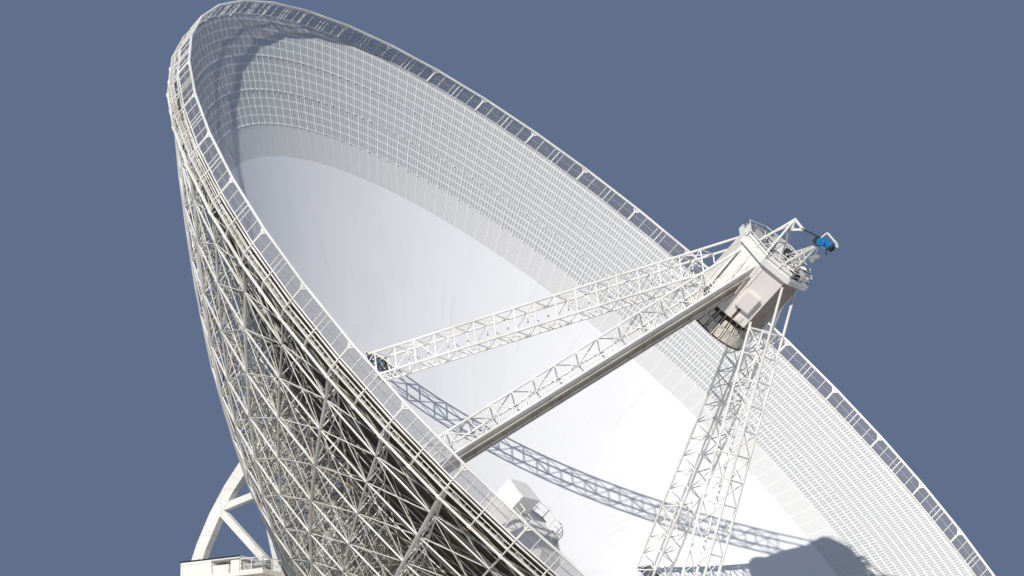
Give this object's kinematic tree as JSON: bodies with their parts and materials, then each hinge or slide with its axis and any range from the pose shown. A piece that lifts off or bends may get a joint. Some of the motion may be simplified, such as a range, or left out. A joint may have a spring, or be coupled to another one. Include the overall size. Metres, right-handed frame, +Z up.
{
  "type": "radio telescope dish, scale model",
  "caption": "Fully steerable radio telescope: a deep dish with a collar, feed legs and focus cabin, tilted by a large wheel on an A-frame mount that turns on a ring rail.",
  "frame": {"origin": "centre of the underside of the centre foundation, on the ground plane and on the azimuth axis", "axes": "+Z up along the azimuth axis, +X along the elevation axis, +Y towards the side that the dish points to at rest"},
  "size_m": [10.0906, 8.9841, 10.8481],
  "materials": {
    "white_paint": "white coating on structural steel, slightly weathered",
    "panel_white": "matt white coating on smooth surface panels",
    "perforated_panel": "matt grey-white coating on perforated sheet and mesh",
    "beige_paint": "matt beige-grey coating",
    "rail_steel": "worn bright running surface",
    "bogie_steel": "grey coating on cast and welded steel",
    "concrete": "plain cast concrete"
  },
  "bodies": {
    "base": {"track_foundation_ring": "concrete", "azimuth_rail": "rail_steel", "centre_foundation": "concrete"},
    "alidade": {"front_base_girder": "white_paint", "rear_base_girder": "white_paint", "right_base_girder": "white_paint", "left_base_girder": "white_paint", "base_cross_girders": "white_paint", "front_right_bogie": "bogie_steel", "front_left_bogie": "bogie_steel", "rear_left_bogie": "bogie_steel", "rear_right_bogie": "bogie_steel", "right_front_a_frame_leg": "white_paint", "right_rear_a_frame_leg": "white_paint", "left_front_a_frame_leg": "white_paint", "left_rear_a_frame_leg": "white_paint", "right_a_frame_tie_beam": "white_paint", "left_a_frame_tie_beam": "white_paint", "right_bearing_platform": "white_paint", "left_bearing_platform": "white_paint", "elevation_drive_tower": "white_paint", "elevation_drive_deck": "white_paint"},
    "dish": {"solid_reflector_panels": "panel_white", "perforated_reflector_panels": "perforated_panel", "rim_collar": "white_paint", "backing_sector_1": "white_paint", "backing_sector_2": "white_paint", "backing_sector_3": "white_paint", "backing_sector_4": "white_paint", "backing_sector_5": "white_paint", "backing_sector_6": "white_paint", "reflector_hub": "white_paint", "vertex_cabin": "white_paint", "upper_feed_leg": "white_paint", "right_feed_leg": "white_paint", "lower_feed_leg": "white_paint", "left_feed_leg": "white_paint", "prime_focus_cabin": "beige_paint", "subreflector": "beige_paint", "cabin_platform_and_hoist": "white_paint", "upper_wheel_half": "white_paint", "lower_wheel_half": "white_paint", "right_side_frame": "white_paint", "left_side_frame": "white_paint", "right_counterweight": "beige_paint", "left_counterweight": "beige_paint"}
  },
  "joints": [
    {"name": "azimuth", "type": "hinge", "parent": "base", "child": "alidade", "pos_m": [0, 0, 0], "axis": [0, 0, 1], "range_deg": [-238, 238]},
    {"name": "elevation", "type": "hinge", "parent": "alidade", "child": "dish", "pos_m": [0, 0, 5], "axis": [1, 0, 0], "range_deg": [-32.9, 54.1]}
  ]
}
